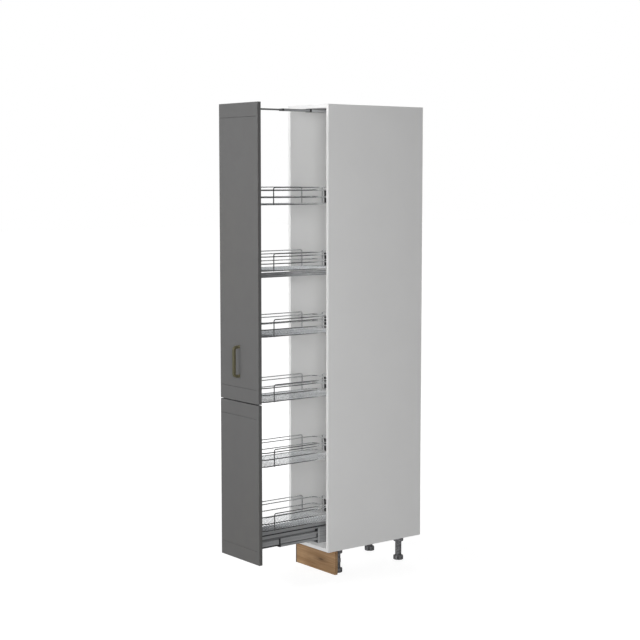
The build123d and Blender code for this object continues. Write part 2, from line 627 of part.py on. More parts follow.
def basket():
    """All wires of one basket, with the lowest loop's centre at zero height."""
    levels = [LOOP_PITCH * i for i in range(LOOP_COUNT)]
    wires = [wire(loop_points(z), WIRE_D, WIRE_SIDES, (1, 0, 0), closed=True) for z in levels]
    inside = offset(make_face(Polyline(*loop_points(0)[1:], close=True)), -WIRE_R, kind=Kind.INTERSECTION)
    floor = extrude(inside, GRID_WIRE_D, both=True)
    first = BASKET_FRONT + GRID_END_GAP
    pitch = (BASKET_REAR - GRID_END_GAP - first) / (GRID_COUNT - 1)
    for i in range(GRID_COUNT):
        y = first + pitch * i
        ends = [(side * BASKET_HALF, y, 0) for side in SIDES]
        wires.append(wire(ends, GRID_WIRE_D, GRID_WIRE_SIDES, (0, 0, 1)) & floor)
    side_rail = rail_points(BASKET_FRONT + RAIL_FRONT_INSET, BASKET_REAR - RAIL_REAR_INSET)
    end_rail = rail_points(-RAIL_END_HALF, RAIL_END_HALF)
    for side in SIDES:
        x = side * (BASKET_HALF + WIRE_D)
        wires.append(wire([(x, y, z) for y, z in side_rail], WIRE_D, WIRE_SIDES, (1, 0, 0)))
    for y in (BASKET_FRONT - WIRE_D, BASKET_REAR + WIRE_D):
        wires.append(wire([(x, y, z) for x, z in end_rail], WIRE_D, WIRE_SIDES, (0, 1, 0)))
    return wires


def carrier():
    """Hook under the top loop of a basket, as distance from the post's web and height."""
    seat = HOOK_LOOP - WIRE_TIP - CARRIER_SEAT
    inner_side = WEB_TO_WIRE + WIRE_R + CARRIER_GAP
    outline = [
        (0, -WIRE_TIP),
        (CARRIER_T, -WIRE_TIP),
        (CARRIER_T, seat - 2 * HOOK_T),
        (inner_side + HOOK_T, seat - HOOK_T),
        (inner_side + HOOK_T, seat + HOOK_LIP),
        (inner_side, seat + HOOK_LIP),
        (inner_side, seat),
        (CARRIER_T, seat),
        (CARRIER_T, seat + HOOK_LIP),
        (0, seat + HOOK_LIP),
    ]
    return make_face(Polyline(*outline, close=True))


def baskets():
    wires = basket()
    hook = run_x(carrier(), *centred(CARRIER_W))
    back_hook = mirror(hook, Plane.XZ)
    hooks = []
    for number, level in enumerate(LEVELS, start=1):
        keep("basket_" + str(number), *(Pos(0, 0, level) * piece for piece in wires))
        hooks.append(Pos(0, FRONT_WEB, level) * hook)
        hooks.append(Pos(0, REAR_WEB, level) * back_hook)
    keep("basket_carriers", *hooks)


shell = (carcass, back_and_brackets, legs, plinth)
pull_out = (fronts, handle, frame, bottom_runner, top_rail, baskets)
for build in shell + pull_out:
    build()

os.makedirs("parts", exist_ok=True)
for name, shape in nodes.items():
    export_step(shape, "parts/" + name + ".step")
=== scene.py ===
import json
import math

import bmesh
import bpy
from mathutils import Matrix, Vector


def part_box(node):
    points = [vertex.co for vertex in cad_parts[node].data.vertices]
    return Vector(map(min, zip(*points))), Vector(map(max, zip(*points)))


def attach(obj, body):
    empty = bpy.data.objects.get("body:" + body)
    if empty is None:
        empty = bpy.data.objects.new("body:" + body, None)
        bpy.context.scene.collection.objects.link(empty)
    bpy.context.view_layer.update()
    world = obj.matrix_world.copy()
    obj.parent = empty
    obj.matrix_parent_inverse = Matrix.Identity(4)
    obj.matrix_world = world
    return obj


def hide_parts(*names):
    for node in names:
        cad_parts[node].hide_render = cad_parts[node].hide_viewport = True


# Looks of a tall pull-out pantry cabinet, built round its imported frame. Metres, in the frame's own axes.
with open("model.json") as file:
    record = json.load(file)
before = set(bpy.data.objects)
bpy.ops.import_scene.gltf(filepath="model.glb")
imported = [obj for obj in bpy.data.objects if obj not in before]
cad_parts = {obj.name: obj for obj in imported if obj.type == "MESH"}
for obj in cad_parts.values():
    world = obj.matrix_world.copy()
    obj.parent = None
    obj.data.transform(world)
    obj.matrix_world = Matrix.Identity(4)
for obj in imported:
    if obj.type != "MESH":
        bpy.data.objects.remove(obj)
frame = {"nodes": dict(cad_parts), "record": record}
nodes = frame["nodes"]
bodies = {node: body for body, names in frame["record"]["behaviour"]["bodies"].items() for node in names}
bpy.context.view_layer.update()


# Materials. Their noise and bands are in metres, as the object coordinates are
class Paint:
    """One material: a principled shader, and the nodes that vary its colour, roughness and relief."""

    def __init__(self, name, **sockets):
        self.material = bpy.data.materials.new(name)
        self.material.use_nodes = True
        self.nodes = self.material.node_tree.nodes
        self.links = self.material.node_tree.links
        self.shader = self.nodes["Principled BSDF"]
        self.place = self.add("ShaderNodeTexCoord").outputs["Object"]
        self.set(**sockets)

    def add(self, kind, **settings):
        node = self.nodes.new(kind)
        for key, value in settings.items():
            setattr(node, key, value)
        return node

    def put(self, socket, value):
        if isinstance(value, bpy.types.NodeSocket):
            self.links.new(value, socket)
        else:
            socket.default_value = value

    def stretch(self, scale, place=None):
        """Coordinates scaled apart on each axis."""
        node = self.add("ShaderNodeMapping", vector_type="POINT")
        self.put(node.inputs["Vector"], place or self.place)
        self.put(node.inputs["Scale"], scale)
        return node.outputs["Vector"]

    def noise(self, scale, detail=3.0, rough=0.55, place=None, distortion=0.0):
        node = self.add("ShaderNodeTexNoise")
        self.put(node.inputs["Vector"], place or self.place)
        settings = {"Scale": scale, "Detail": detail, "Roughness": rough, "Distortion": distortion}
        for socket, value in settings.items():
            self.put(node.inputs[socket], value)
        return node.outputs["Fac"]

    def cells(self, scale):
        node = self.add("ShaderNodeTexVoronoi")
        self.put(node.inputs["Vector"], self.place)
        self.put(node.inputs["Scale"], scale)
        return node.outputs

    def math(self, operation, a, b=0.0, c=0.0):
        node = self.add("ShaderNodeMath", operation=operation)
        for socket, value in zip(node.inputs, (a, b, c)):
            self.put(socket, value)
        return node.outputs["Value"]

    def span(self, value, low, high, to_low=0.0, to_high=1.0):
        """Maps one span of values smoothly onto another."""
        node = self.add("ShaderNodeMapRange", interpolation_type="SMOOTHSTEP")
        for socket, number in zip(node.inputs, (value, low, high, to_low, to_high)):
            self.put(socket, number)
        return node.outputs["Result"]

    def axes(self, place=None):
        node = self.add("ShaderNodeSeparateXYZ")
        self.put(node.inputs["Vector"], place or self.place)
        return node.outputs

    def blend(self, factor, a, b):
        node = self.add("ShaderNodeMix", data_type="RGBA")
        self.put(node.inputs[0], factor)
        self.put(node.inputs[6], a if isinstance(a, bpy.types.NodeSocket) else (*a, 1.0))
        self.put(node.inputs[7], b if isinstance(b, bpy.types.NodeSocket) else (*b, 1.0))
        return node.outputs[2]

    def relief(self, height, distance, strength):
        node = self.add("ShaderNodeBump")
        self.put(node.inputs["Strength"], strength)
        self.put(node.inputs["Distance"], distance)
        self.put(node.inputs["Height"], height)
        return node.outputs["Normal"]

    def within(self, value, low, high, soft):
        """One between two values and nothing outside them, with soft ends."""
        rise = self.span(value, low - soft, low + soft)
        return self.math("MULTIPLY", rise, self.span(value, high - soft, high + soft, 1.0, 0.0))

    def product(self, *factors):
        """All factors multiplied, from left to right."""
        result = factors[0]
        for factor in factors[1:]:
            result = self.math("MULTIPLY", result, factor)
        return result

    def set(self, **sockets):
        """Fills sockets of the shader, named with underscores for their spaces, and gives the material."""
        for socket, value in sockets.items():
            self.put(self.shader.inputs[socket.replace("_", " ")], value)
        return self.material


def shade(colour, factor):
    return tuple(channel * factor for channel in colour)


def board_white():
    """Melamine board: a fine pearl relief and a hardly visible cloud in the white."""
    paint = Paint("white_melamine", Specular_IOR_Level=0.35)
    white = (0.862, 0.862, 0.858)
    cloud = paint.noise(5.0, detail=2.0)
    speck = paint.noise(620.0, detail=2.0)
    colour = paint.blend(paint.span(cloud, 0.3, 0.7), shade(white, 0.985), white)
    colour = paint.blend(paint.span(speck, 0.62, 0.8, 0.0, 0.05), colour, shade(white, 0.8))
    pearl = paint.relief(paint.noise(900.0, detail=4.0), 0.00008, 0.5)
    return paint.set(Base_Color=colour, Roughness=paint.span(speck, 0.3, 0.7, 0.42, 0.52), Normal=pearl)


def back_board():
    """Thin fibre board with a painted skin: fibres show through as short streaks."""
    paint = Paint("painted_fibre_board", Specular_IOR_Level=0.25)
    fibre = paint.noise(90.0, detail=5.0, place=paint.stretch((1.0, 1.0, 0.25)))
    colour = paint.blend(paint.span(fibre, 0.35, 0.65), (0.80, 0.80, 0.785), (0.85, 0.85, 0.845))
    skin = paint.relief(paint.noise(700.0, detail=3.0), 0.0001, 0.5)
    return paint.set(Base_Color=colour, Roughness=paint.span(fibre, 0.3, 0.7, 0.6, 0.72), Normal=skin)


# Fronts, for the painted shade in the grooves and between the fronts: how far behind the face a groove's
# walls lie, how far its field is from the sides, and soft ends
GROOVE_BEHIND = (0.0003, 0.0018)
GROOVE_INSET = 0.0135
GROOVE_SOFT = 0.0001
FIELD_SOFT = 0.0003
GAP_MARGIN = 0.0003
GAP_SOFT = 0.0002


def front_grey():
    """Satin lacquer on the fronts: soft orange peel, a slow warm drift, and painted shade in the grooves and
    between the two fronts.
    """
    paint = Paint("grey_lacquer", Specular_IOR_Level=0.15)
    grey = (0.128, 0.1275, 0.127)
    drift = paint.noise(1.3, detail=1.0)
    cloud = paint.noise(14.0, detail=3.0)
    colour = paint.blend(paint.span(drift, 0.35, 0.65), grey, (0.130, 0.128, 0.1245))
    colour = paint.blend(paint.span(cloud, 0.35, 0.7, 0.0, 0.5), colour, shade(grey, 0.965))
    x, y, z = paint.axes()
    upper_low, upper_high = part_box("upper_front")
    face, field = upper_low.y, upper_high.x - GROOVE_INSET
    # Painted shade: the grooves' walls and floors are darkened.
    depth = paint.within(y, face + GROOVE_BEHIND[0], face + GROOVE_BEHIND[1], GROOVE_SOFT)
    groove_shade = paint.span(paint.math("ABSOLUTE", x), field - FIELD_SOFT, field + FIELD_SOFT, 0.45, 0.0)
    colour = paint.blend(paint.product(depth, groove_shade), colour, shade(grey, 0.5))
    # Painted shade between the two fronts, on the faces that meet across the gap.
    lower_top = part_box("lower_front")[1].z
    gap_shade = paint.within(z, lower_top - GAP_MARGIN, upper_low.z + GAP_MARGIN, GAP_SOFT)
    colour = paint.blend(gap_shade, colour, shade(grey, 0.35))
    peel = paint.relief(paint.noise(420.0, detail=2.0), 0.00006, 0.6)
    return paint.set(Base_Color=colour, Roughness=paint.span(cloud, 0.3, 0.7, 0.46, 0.54), Normal=peel)


# Oak plinth: where its knot lies, the knot's reach along and across the grain, and the dark left end
KNOT_X = 0.046
KNOT_Z = 0.055
KNOT_LONG = 0.034
KNOT_HIGH = 0.0080
KNOT_BOW = 0.006
END_SHADE = (0.0065, 0.0085)


def oak():
    """Oak decor on the plinth: growth lines along X that bow round one knot, pores, and a dark left end."""
    paint = Paint("oak_decor", Specular_IOR_Level=0.3)
    x, y, z = paint.axes()
    knot_x = paint.math("DIVIDE", paint.math("SUBTRACT", x, KNOT_X), KNOT_LONG)
    knot_z = paint.math("DIVIDE", paint.math("SUBTRACT", z, KNOT_Z), KNOT_HIGH)
    squared = paint.math("ADD", paint.product(knot_x, knot_x), paint.product(knot_z, knot_z))
    reach = paint.math("SQRT", squared)
    near = paint.span(reach, 0.0, 3.4, 1.0, 0.0)
    bowed = paint.math("MULTIPLY_ADD", paint.product(near, knot_z), -KNOT_BOW, z)
    warp = paint.add("ShaderNodeCombineXYZ")
    for socket, value in zip(warp.inputs, (x, y, bowed)):
        paint.put(socket, value)
    along = warp.outputs["Vector"]
    broad = paint.noise(1.0, detail=3.0, distortion=0.6, place=paint.stretch((3.5, 20.0, 42.0), along))
    lines = paint.noise(1.0, detail=4.0, place=paint.stretch((5.0, 60.0, 190.0), along))
    pores = paint.noise(1.0, detail=2.0, place=paint.stretch((30.0, 300.0, 900.0), along))
    colour = paint.blend(paint.span(broad, 0.3, 0.7), (0.318, 0.188, 0.096), (0.465, 0.300, 0.165))
    colour = paint.blend(paint.span(lines, 0.45, 0.68, 0.0, 0.55), colour, (0.265, 0.151, 0.073))
    colour = paint.blend(paint.span(pores, 0.60, 0.72, 0.0, 0.45), colour, (0.153, 0.082, 0.040))
    colour = paint.blend(paint.span(reach, 0.35, 2.3, 0.62, 0.0), colour, (0.140, 0.077, 0.040))
    colour = paint.blend(paint.span(reach, 0.1, 0.75, 0.7, 0.0), colour, (0.068, 0.036, 0.020))
    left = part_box("plinth_board")[0].x
    end = paint.span(x, left + END_SHADE[0], left + END_SHADE[1], 0.9, 0.0)
    colour = paint.blend(end, colour, (0.045, 0.028, 0.016))
    grain = paint.relief(paint.math("MULTIPLY_ADD", pores, -0.6, lines), 0.00012, 0.6)
    return paint.set(Base_Color=colour, Roughness=paint.span(lines, 0.3, 0.7, 0.42, 0.56), Normal=grain)


# Runner: its bands of painted shade and painted highlight as low, high and soft end, up from the housing's
# floor and out from the middle
WAIST_Z = (0.0495, 0.0630, 0.0008)
WAIST_OUT = (0.0190, 0.0200)
CHANNEL_Z = (0.0255, 0.0300, 0.0010)
CHANNEL_OUT = (0.0232, 0.0250, 0.0004)
HEM_Z = (0.0190, 0.0265, 0.0012)
HEM_OUT = (0.0198, 0.0218, 0.0004)
RIM_Z = (0.0005, 0.0745, 0.0005)
RIM_OUT = (0.0285, 0.0320, 0.0004)
RIM_BEFORE = (0.0010, 0.0005)
RIM_BEHIND = (0.0085, 0.0100)
BAR_SOFT = 0.0004
BEAM_SKIN = 0.0005
BEAM_SOFT = 0.0001
# Top rails: painted shade on the inner bar, a painted highlight on the fixed rail's flank, and painted shade
# under the top panel
INNER_BELOW = (0.0020, 0.0010)
INNER_BESIDE = (0.0002, 0.0006)
FLANK_BELOW = 0.0005
FLANK_TOP = 0.0050
FLANK_SOFT = 0.0005
FLANK_IN = (0.0008, 0.0003)
CROWN_IN = (0.0045, 0.0035)


def runner_grey():
    """Powder-coated runner steel: fine grain, streaks along the travel, painted shade in its hollows,
    on the top rails' inner bar and under the top panel, painted highlights on the housing's front rim and
    on the fixed top rail's outer face, barer metal on the middle bar, and barer metal with a painted
    highlight on the top of the beam."""
    paint = Paint("grey_powder_coat", Specular_IOR_Level=0.45)
    grey = (0.362, 0.368, 0.376)
    grain = paint.noise(1500.0, detail=2.0)
    streak = paint.noise(1.0, detail=3.0, place=paint.stretch((260.0, 4.0, 260.0)))
    colour = paint.blend(paint.span(grain, 0.3, 0.7), shade(grey, 0.93), grey)
    colour = paint.blend(paint.span(streak, 0.5, 0.75, 0.0, 0.35), colour, shade(grey, 0.72))
    x, y, z = paint.axes()
    out = paint.math("ABSOLUTE", x)
    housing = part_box("runner_housing")[0]

    def level(low, high, soft):
        return paint.within(z, housing.z + low, housing.z + high, soft)

    # Painted shade in the inner runner's recessed waist.
    waist_shade = paint.product(level(*WAIST_Z), paint.span(out, *WAIST_OUT, 1.0, 0.0))
    colour = paint.blend(waist_shade, colour, shade(grey, 0.48))
    # Painted shade: a dark line on the middle runner's sides above its bead.
    channel = paint.product(level(*CHANNEL_Z), paint.within(out, *CHANNEL_OUT), 0.85)
    colour = paint.blend(channel, colour, shade(grey, 0.25))
    # Painted shade: a dark line along the inner runner's bottom edge.
    hem_shade = paint.product(level(*HEM_Z), paint.within(out, *HEM_OUT))
    colour = paint.blend(hem_shade, colour, shade(grey, 0.12))
    # Painted shade on the top rails' inner bar.
    inner_low, inner_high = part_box("top_rail_inner")
    upper = paint.span(z, *(inner_low.z - step for step in INNER_BELOW))
    beside = paint.span(out, *(inner_high.x + step for step in INNER_BESIDE), 0.65, 0.0)
    colour = paint.blend(paint.product(upper, beside), colour, shade(grey, 0.45))
    # Painted highlight: the fixed top rail's outer face made lighter.
    fixed_low, fixed_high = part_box("top_rail_fixed")
    flank_highlight = paint.product(paint.span(out, *(fixed_high.x - step for step in FLANK_IN)),
                          paint.within(z, fixed_low.z - FLANK_BELOW, fixed_high.z - FLANK_TOP, FLANK_SOFT))
    colour = paint.blend(flank_highlight, colour, shade(grey, 1.40))
    # Painted shade: a dark line along the top of the fixed rail, where it meets the top panel.
    crown = paint.span(z, *(fixed_high.z - step for step in CROWN_IN), 0.0, 0.8)
    colour = paint.blend(crown, colour, shade(grey, 0.50))
    # Barer metal: the middle bar lighter and more metallic; the same on the beam's top face is barer metal
    # and painted highlight.
    bar_low, bar_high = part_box("middle_bar")
    beam_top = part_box("bottom_beam")[1].z
    bare_metal_and_highlight = paint.math("MAXIMUM", paint.within(z, bar_low.z, bar_high.z, BAR_SOFT),
                      paint.within(z, beam_top - BEAM_SKIN, beam_top + BEAM_SKIN, BEAM_SOFT))
    bare_metal_and_highlight = paint.product(bare_metal_and_highlight, paint.within(y, bar_low.y, bar_high.y, BAR_SOFT))
    colour = paint.blend(bare_metal_and_highlight, colour, shade(grey, 1.7))
    # Painted highlight on the front edges of the housing's walls, at its mouth.
    rim = paint.product(paint.span(y, *(housing.y + step for step in RIM_BEHIND), 1.0, 0.0),
                        level(*RIM_Z), paint.within(out, *RIM_OUT),
                        paint.span(y, *(housing.y - step for step in RIM_BEFORE)), 0.6)
    colour = paint.blend(rim, colour, shade(grey, 1.5))
    coat = paint.relief(grain, 0.00005, 0.6)
    return paint.set(Base_Color=colour, Roughness=paint.span(streak, 0.3, 0.7, 0.20, 0.32), Normal=coat,
                     Metallic=paint.span(bare_metal_and_highlight, 0.0, 1.0, 0.15, 0.70))


def zinc():
    """Galvanised sheet: crystals that differ in tone, and a fine brushed relief."""
    paint = Paint("zinc_sheet", Metallic=0.9)
    spangle = paint.axes(paint.cells(160.0)["Color"])[0]
    brush = paint.noise(1.0, detail=2.0, place=paint.stretch((900.0, 900.0, 60.0)))
    colour = paint.blend(spangle, (0.42, 0.43, 0.44), (0.60, 0.61, 0.62))
    fine = paint.relief(brush, 0.00003, 0.5)
    return paint.set(Base_Color=colour, Roughness=paint.span(brush, 0.3, 0.7, 0.3, 0.45), Normal=fine)


def plastic(name, colour, rough, grain_scale, grain_depth, scuff_scale=45.0, scuff_and_glint_pale=1.5, scuff_from=0.55):
    """Moulded plastic: an eroded fine texture, paler scuffs that at strong settings are painted glints as
    well, and painted shade in the notches where lathe marks a recess.
    """
    paint = Paint(name, Specular_IOR_Level=0.4)
    scuff_and_glint = paint.noise(scuff_scale, detail=5.0, rough=0.65)
    grain = paint.noise(grain_scale, detail=2.0)
    pale = tuple(channel * scuff_and_glint_pale + 0.01 for channel in colour)
    # Paler scuffs; at the leg plastic's strong setting they are painted glints as well.
    tint = paint.blend(paint.span(scuff_and_glint, scuff_from, scuff_from + 0.25, 0.0, 0.5), colour, pale)
    tint = paint.blend(paint.span(grain, 0.3, 0.7, 0.12, 0.0), tint, shade(colour, 0.5))
    # Painted shade: darker colour in the notches, by how much the lathe's wave cut them back.
    recess = paint.add("ShaderNodeAttribute", attribute_name="recess").outputs["Fac"]
    tint = paint.blend(paint.span(recess, 0.01, 0.10, 0.0, 0.85), tint, shade(colour, 0.15))
    skin = paint.relief(grain, grain_depth, 0.7)
    return paint.set(Base_Color=tint, Roughness=paint.span(scuff_and_glint, 0.3, 0.7, rough, rough + 0.14), Normal=skin)


# Handle: its worn rims beside the middle, its painted highlight below the top, and its painted highlight on
# the feet before the front
WORN_RIM = (0.0060, 0.0068, 0.0004)
CROWN_HIGHLIGHT = (0.0030, 0.0010)
FEET_HIGHLIGHT = (0.0110, 0.0040)


def bronze():
    """Aged bronze on the handle: dark patina that thins out to the metal beneath at its rims, and painted
    highlights in that metal's colour on its crown and feet.
    """
    paint = Paint("aged_bronze", Metallic=0.6)
    x, y, z = paint.axes()
    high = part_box("handle")[1]
    patina = paint.noise(170.0, detail=5.0, rough=0.6)
    brush = paint.noise(1.0, detail=2.0, place=paint.stretch((700.0, 700.0, 40.0)))
    rim = paint.within(paint.math("ABSOLUTE", x), *WORN_RIM)
    wear_and_highlight = paint.product(rim, paint.span(patina, 0.25, 0.6, 0.35, 0.55))
    # Painted highlights: the crown below the top and the feet before the front take the worn metal's colour.
    crown = paint.span(z, *(high.z - step for step in CROWN_HIGHLIGHT), 0.0, 0.6)
    feet = paint.span(y, *(high.y - step for step in FEET_HIGHLIGHT), 0.0, 0.55)
    wear_and_highlight = paint.math("MAXIMUM", paint.math("MAXIMUM", wear_and_highlight, crown), feet)
    colour = paint.blend(paint.span(patina, 0.3, 0.7), (0.165, 0.154, 0.094), (0.195, 0.182, 0.113))
    colour = paint.blend(wear_and_highlight, colour, (0.42, 0.38, 0.24))
    fine = paint.relief(paint.math("MULTIPLY_ADD", patina, 0.5, brush), 0.00005, 0.5)
    return paint.set(Base_Color=colour, Roughness=paint.span(patina, 0.3, 0.7, 0.34, 0.5), Normal=fine)


def chrome():
    """Chromed wire: drawn marks under the plating and a faint haze."""
    paint = Paint("chromed_wire", Metallic=1.0)
    haze = paint.noise(120.0, detail=4.0)
    drawn = paint.noise(1.0, detail=2.0, place=paint.stretch((300.0, 300.0, 300.0)))
    colour = paint.blend(paint.span(haze, 0.3, 0.7), (0.86, 0.87, 0.88), (0.94, 0.95, 0.96))
    fine = paint.relief(drawn, 0.00004, 0.4)
    return paint.set(Base_Color=colour, Roughness=paint.span(haze, 0.3, 0.7, 0.12, 0.24), Normal=fine)


def beech():
    """Fluted beech dowels: short pale grain."""
    paint = Paint("beech", Specular_IOR_Level=0.25)
    grain = paint.noise(1.0, detail=4.0, place=paint.stretch((25.0, 500.0, 500.0)))
    colour = paint.blend(paint.span(grain, 0.35, 0.65), (0.52, 0.36, 0.22), (0.66, 0.48, 0.31))
    return paint.set(Base_Color=colour, Roughness=0.6, Normal=paint.relief(grain, 0.0001, 0.5))


def rubber():
    """Clear bumper rubber: slightly milky, with a soft dust haze."""
    paint = Paint("clear_rubber", Transmission_Weight=0.6, IOR=1.45)
    dust = paint.noise(300.0, detail=4.0)
    colour = paint.blend(paint.span(dust, 0.35, 0.7), (0.80, 0.81, 0.80), (0.68, 0.68, 0.66))
    fine = paint.relief(dust, 0.00004, 0.4)
    return paint.set(Base_Color=colour, Roughness=paint.span(dust, 0.3, 0.7, 0.22, 0.42), Normal=fine)


materials = {
    "carcass_white": board_white(),
    "back_board": back_board(),
    "front_grey": front_grey(),
    "oak": oak(),
    "runner_steel": runner_grey(),
    "zinc_steel": zinc(),
    # The legs' strong pale scuffs are painted glints as well as scuffs.
    "leg_plastic": plastic("grey_leg_plastic", (0.128, 0.128, 0.134), 0.42, 1400.0, 0.00006,
                           scuff_scale=110.0, scuff_and_glint_pale=3.6, scuff_from=0.44),
    "black_plastic": plastic("black_slide_plastic", (0.020, 0.020, 0.021), 0.36, 1800.0, 0.00004),
    "bronze": bronze(),
    "chrome_wire": chrome(),
    "beech": beech(),
    "clear_rubber": rubber(),
}
slot_of = {part["node"]: part["material_slot"] for part in frame["record"]["subparts"]}
for name, node in nodes.items():
    node.data.materials.clear()
    node.data.materials.append(materials[slot_of[name]])


# Meshes
SHARP = 40.0
SHARP_BOARD = 50.0
SHARP_HANDLE = 60.0
MERGE = 1e-6
FLAT = math.radians(1.0)
CORNERED = math.radians(30.0)
EASE_SEGMENTS = 2


def to_mesh(name, bm):
    """Turns a bmesh into a mesh whose faces look outwards."""
    mesh = bpy.data.meshes.new(name)
    bmesh.ops.recalc_face_normals(bm, faces=bm.faces[:])
    bm.to_mesh(mesh)
    bm.free()
    return mesh


def piece(name, bm, body, slot, stands_for=(), sharp=SHARP):
    """Places a bmesh as it is, in the frame."""
    return place(name, to_mesh(name, bm), body, slot, stands_for, sharp)


def place(name, mesh, body, slot, stands_for=(), sharp=SHARP, at=(0, 0, 0)):
    """Makes a smooth shaded piece that rides a body and takes one slot's finish."""
    mesh.polygons.foreach_set("use_smooth", [True] * len(mesh.polygons))
    mesh.set_sharp_from_angle(angle=math.radians(sharp))
    if not mesh.materials:
        mesh.materials.append(materials[slot])
    obj = bpy.data.objects.new(name, mesh)
    bpy.context.scene.collection.objects.link(obj)
    obj.location = at
    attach(obj, body)
    if stands_for:
        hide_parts(*stands_for)
    return obj


def soften(node, width):
    """Copies a node's form with its coplanar triangles joined and its edges rounded."""
    bm = bmesh.new()
    bm.from_mesh(nodes[node].data)
    bmesh.ops.remove_doubles(bm, verts=bm.verts[:], dist=MERGE)
    bmesh.ops.dissolve_limit(bm, angle_limit=FLAT, verts=bm.verts[:], edges=bm.edges[:])
    edges = [edge for edge in bm.edges if edge.is_manifold and edge.calc_face_angle() > CORNERED]
    bmesh.ops.bevel(bm, geom=edges, offset=width, offset_type="OFFSET", segments=EASE_SEGMENTS, profile=0.5,
                    affect="EDGES", clamp_overlap=True)
    obj = piece(node + "_looks", bm, bodies[node], slot_of[node], [node], SHARP_BOARD)
    normals = obj.modifiers.new("normals", "WEIGHTED_NORMAL")
    normals.keep_sharp = True
    normals.weight = 90


def spin(arm, axis, angle):
    """Turns a vector about an axis at right angles to it."""
    return arm * math.cos(angle) + axis.cross(arm) * math.sin(angle)


def rounded(corners, radius, steps, closed=False):
    """Chain of points with an arc in place of each inner corner."""
    points = []
    count = len(corners)
    for i, corner in enumerate(corners):
        here = Vector(corner)
        if not closed and i in (0, count - 1):
            points.append(here)
            continue
        back = (Vector(corners[i - 1]) - here).normalized()
        on = (Vector(corners[(i + 1) % count]) - here).normalized()
        half = back.angle(on) / 2
        centre = here + (back + on).normalized() * (radius / math.sin(half))
        arm, end = (here + way * (radius / math.tan(half)) - centre for way in (back, on))
        axis = arm.cross(end).normalized()
        for step in range(steps + 1):
            points.append(centre + spin(arm, axis, (math.pi - 2 * half) * step / steps))
    return points


def tube(bm, points, section, closed=False):
    """Sweeps a section, given as (side, up) points or as a list of them, along a chain of points."""
    count = len(points)
    rings = []
    side = None
    for i, here in enumerate(points):
        before = points[i - 1] if closed or i > 0 else here
        after = points[(i + 1) % count] if closed or i < count - 1 else here
        along = (after - before).normalized()
        if side is None:
            side = along.orthogonal().normalized() if abs(along.x) > 0.9 else Vector((1, 0, 0))
        side = (side - along * side.dot(along)).normalized()
        up = along.cross(side)
        ring = section[i] if isinstance(section, list) else section
        rings.append([bm.verts.new(here + side * u + up * v) for u, v in ring])
    pairs = zip(rings, rings[1:] + rings[:1]) if closed else zip(rings, rings[1:])
    for low, high in pairs:
        for k in range(len(low)):
            j = (k + 1) % len(low)
            bm.faces.new((low[k], low[j], high[j], high[k]))
    if not closed:
        bm.faces.new(rings[0][::-1])
        bm.faces.new(rings[-1])


def circle(radius, sides):
    return tuple((radius * math.cos(2 * math.pi * k / sides), radius * math.sin(2 * math.pi * k / sides))
                 for k in range(sides))


def lathe(bm, centre, outline, sides, wave=None, along="Z"):
    """Turns (radius, height) points about an axis along Z or Y.

    A wave may change the radius round the turn, and the recess layer keeps how much it takes away.
    """
    recess = bm.verts.layers.float.get("recess") or bm.verts.layers.float.new("recess")
    rings = []
    for radius, height in outline:
        ring = []
        for k in range(sides):
            angle = 2 * math.pi * k / sides
            r = wave(radius, height, angle) if wave else radius
            u, v = r * math.cos(angle), r * math.sin(angle)
            arm = Vector((u, v, height)) if along == "Z" else Vector((u, height, v))
            vert = bm.verts.new(Vector(centre) + arm)
            vert[recess] = (radius - r) / radius
            ring.append(vert)
        rings.append(ring)
    for low, high in zip(rings, rings[1:]):
        for k in range(sides):
            j = (k + 1) % sides
            bm.faces.new((low[k], low[j], high[j], high[k]))
    bm.faces.new(rings[0][::-1])
    bm.faces.new(rings[-1])


# Pieces that keep their own form, with eased edges
EASED = {
    "side_panel_left": 0.0006, "side_panel_right": 0.0006, "top_panel": 0.0005, "bottom_panel": 0.0005,
    "back_panel": 0.0003, "plinth_board": 0.0008, "upper_front": 0.0003, "lower_front": 0.0003,
    "front_post": 0.0003, "rear_post": 0.0003, "bottom_beam": 0.0006, "middle_bar": 0.0008,
    "runner_housing": 0.0005, "runner_middle": 0.0005, "runner_inner": 0.0005, "top_rail_fixed": 0.0003,
    "top_rail_middle": 0.0003, "top_rail_inner": 0.0003, "front_brackets": 0.0003, "wall_brackets": 0.0003,
    "beam_spacers": 0.0003, "runner_guide_blocks": 0.0005, "runner_middle_collar": 0.0004,
    "runner_middle_shoe": 0.0005, "runner_inner_shoe": 0.0005, "top_rail_collar": 0.0003,
    "top_middle_collar": 0.0003, "basket_carriers": 0.0005, "plinth_clips": 0.0004, "support_roller": 0.0006,
    "roller_axle": 0.0003, "carcass_dowels": 0.0005,
}
for node, width in EASED.items():
    soften(node, width)

# Wire baskets: round bent wire, welded where the rails cross the loops
WIRE = 0.005
GRID_WIRE = 0.003
GRID_COUNT = 30
GRID_END = 0.015
LOOPS = (0.0, 0.031, 0.062)
CORNER = 0.035
RAIL_TOP = 0.075
RAIL_BEND = 0.008
RAIL_FROM_FRONT = 0.067
RAIL_FROM_REAR = 0.070
RAIL_HALF = 0.057
WELD_R = 0.0016
WIRE_SIDES = 12
GRID_SIDES = 8
CORNER_STEPS = 9
RAIL_STEPS = 6
BASKETS = ["basket_" + str(number) for number in range(1, 7)]


def weld(bm, at):
    """Small round bead where two wires touch."""
    bead = bmesh.ops.create_uvsphere(bm, u_segments=8, v_segments=5, radius=WELD_R)
    bmesh.ops.translate(bm, verts=bead["verts"], vec=at)


def rail(bm, point, low, high):
    """Upside-down U whose points come from a distance along it and a height."""
    corners = [point(low, -WIRE / 2), point(low, RAIL_TOP), point(high, RAIL_TOP), point(high, -WIRE / 2)]
    tube(bm, rounded(corners, RAIL_BEND, RAIL_STEPS), circle(WIRE / 2, WIRE_SIDES))


